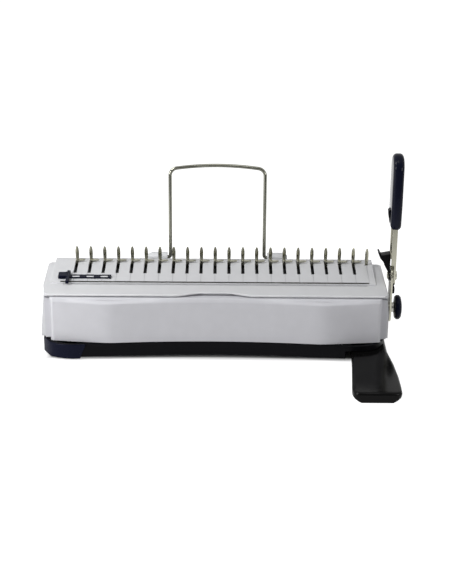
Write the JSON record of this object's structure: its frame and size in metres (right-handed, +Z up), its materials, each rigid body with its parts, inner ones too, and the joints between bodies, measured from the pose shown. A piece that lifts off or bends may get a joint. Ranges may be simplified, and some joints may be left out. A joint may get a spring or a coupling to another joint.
{
  "type": "comb binding machine",
  "caption": "Manual comb punch and binder: low silver housing with a slotted hook deck, upright prongs, a side handle, a chip drawer, a wire paper support and a slide-out foot.",
  "frame": {"origin": "Middle of the bounding box on the table", "axes": "+X to the user's right, +Y to the back, +Z up; the drawer front faces -Y"},
  "size_m": [0.3648, 0.2524, 0.2059],
  "materials": {
    "plastic_silver": "satin silver",
    "plastic_navy": "satin dark blue",
    "plastic_black": "satin black",
    "plastic_grey": "matte grey",
    "rubber_black": "matte black",
    "deck_metal": "satin silver paint",
    "steel_plain": "plain steel",
    "steel_bright": "bright plated",
    "steel_dark": "dark coated steel",
    "bush_brass": "plain"
  },
  "bodies": {
    "machine": {"base_pan": "plastic_black", "corner_block": "plastic_navy", "cover": "plastic_silver", "hook_deck": "deck_metal", "prong_strip": "steel_bright", "prongs": "steel_bright", "frame_left": "steel_dark", "frame_right": "steel_dark", "die_plate": "steel_plain", "guide_plate": "steel_dark", "paper_stop": "plastic_black", "bush_left": "bush_brass", "bush_right": "bush_brass", "tie_bar": "steel_dark", "return_springs": "steel_plain", "rubber_feet": "rubber_black", "frame_screws": "steel_plain", "cover_screws": "steel_dark"},
    "punch": {"punch_beam": "steel_dark", "yoke_plates": "steel_dark", "punch_pins": "steel_plain"},
    "rack": {"hook_plate": "steel_dark", "hooks": "steel_bright", "rack_arms": "steel_dark"},
    "crank": {"main_shaft": "steel_plain", "eccentrics": "steel_plain", "hook_cranks": "steel_plain", "crank_strip": "steel_bright", "fold_stop": "plastic_black", "cross_bolt": "steel_bright"},
    "lever": {"lever_arm": "steel_bright", "grip_shell": "plastic_navy", "grip_inlay": "plastic_grey", "arm_clip": "plastic_black", "latch_spring": "steel_plain"},
    "catch": {"latch": "plastic_black"},
    "knob": {"knob": "plastic_navy"},
    "drawer": {"chip_tray": "plastic_grey", "front_panel": "plastic_silver"},
    "guide": {"edge_guide": "plastic_navy", "index_rail": "plastic_navy"},
    "support": {"wire_support": "steel_bright"},
    "foot": {"foot_arm": "plastic_black", "foot_pad": "rubber_black"}
  },
  "joints": [
    {"name": "handle_pull", "type": "hinge", "parent": "machine", "child": "crank", "pos_m": [-0.0074, 0.00425, 0.0439], "axis": [1, 0, 0], "range_deg": [0, 80.8], "stiffness_Nm_per_rad": 1.2, "springref_deg": -34.38},
    {"name": "punch_slide", "type": "slide", "parent": "machine", "child": "punch", "axis": [0, -1, 0], "range_m": [0, 0.007]},
    {"name": "hook_slide", "type": "slide", "parent": "machine", "child": "rack", "axis": [0, -0.9954, -0.0958], "range_m": [0, 0.01565]},
    {"name": "handle_fold", "type": "hinge", "parent": "crank", "child": "lever", "pos_m": [0.17097, 0.00425, 0.0787], "axis": [-1, 0, 0], "range_deg": [0, 75]},
    {"name": "latch_press", "type": "hinge", "parent": "lever", "child": "catch", "pos_m": [0.16798, 0.00425, 0.0787], "axis": [1, 0, 0], "range_deg": [0, 8], "stiffness_Nm_per_rad": 0.05, "springref_deg": -11.46},
    {"name": "knob_turn", "type": "hinge", "parent": "crank", "child": "knob", "pos_m": [0.17378, 0.00425, 0.0439], "axis": [1, 0, 0], "continuous": true},
    {"name": "drawer_slide", "type": "slide", "parent": "machine", "child": "drawer", "axis": [0, -1, 0], "range_m": [0, 0.06]},
    {"name": "guide_slide", "type": "slide", "parent": "machine", "child": "guide", "axis": [1, 0, 0], "range_m": [0, 0.02857]},
    {"name": "support_fold", "type": "hinge", "parent": "machine", "child": "support", "pos_m": [-0.0054, 0.06925, 0.0715], "axis": [-1, 0, 0], "range_deg": [0, 100]},
    {"name": "foot_slide", "type": "slide", "parent": "machine", "child": "foot", "axis": [0, 1, 0], "range_m": [0, 0.08]}
  ],
  "couplings": [
    {"joint": "handle_pull", "follows": "punch_slide", "rad_per_m": 199.47},
    {"joint": "hook_slide", "follows": "punch_slide", "ratio": 2.2143}
  ]
}
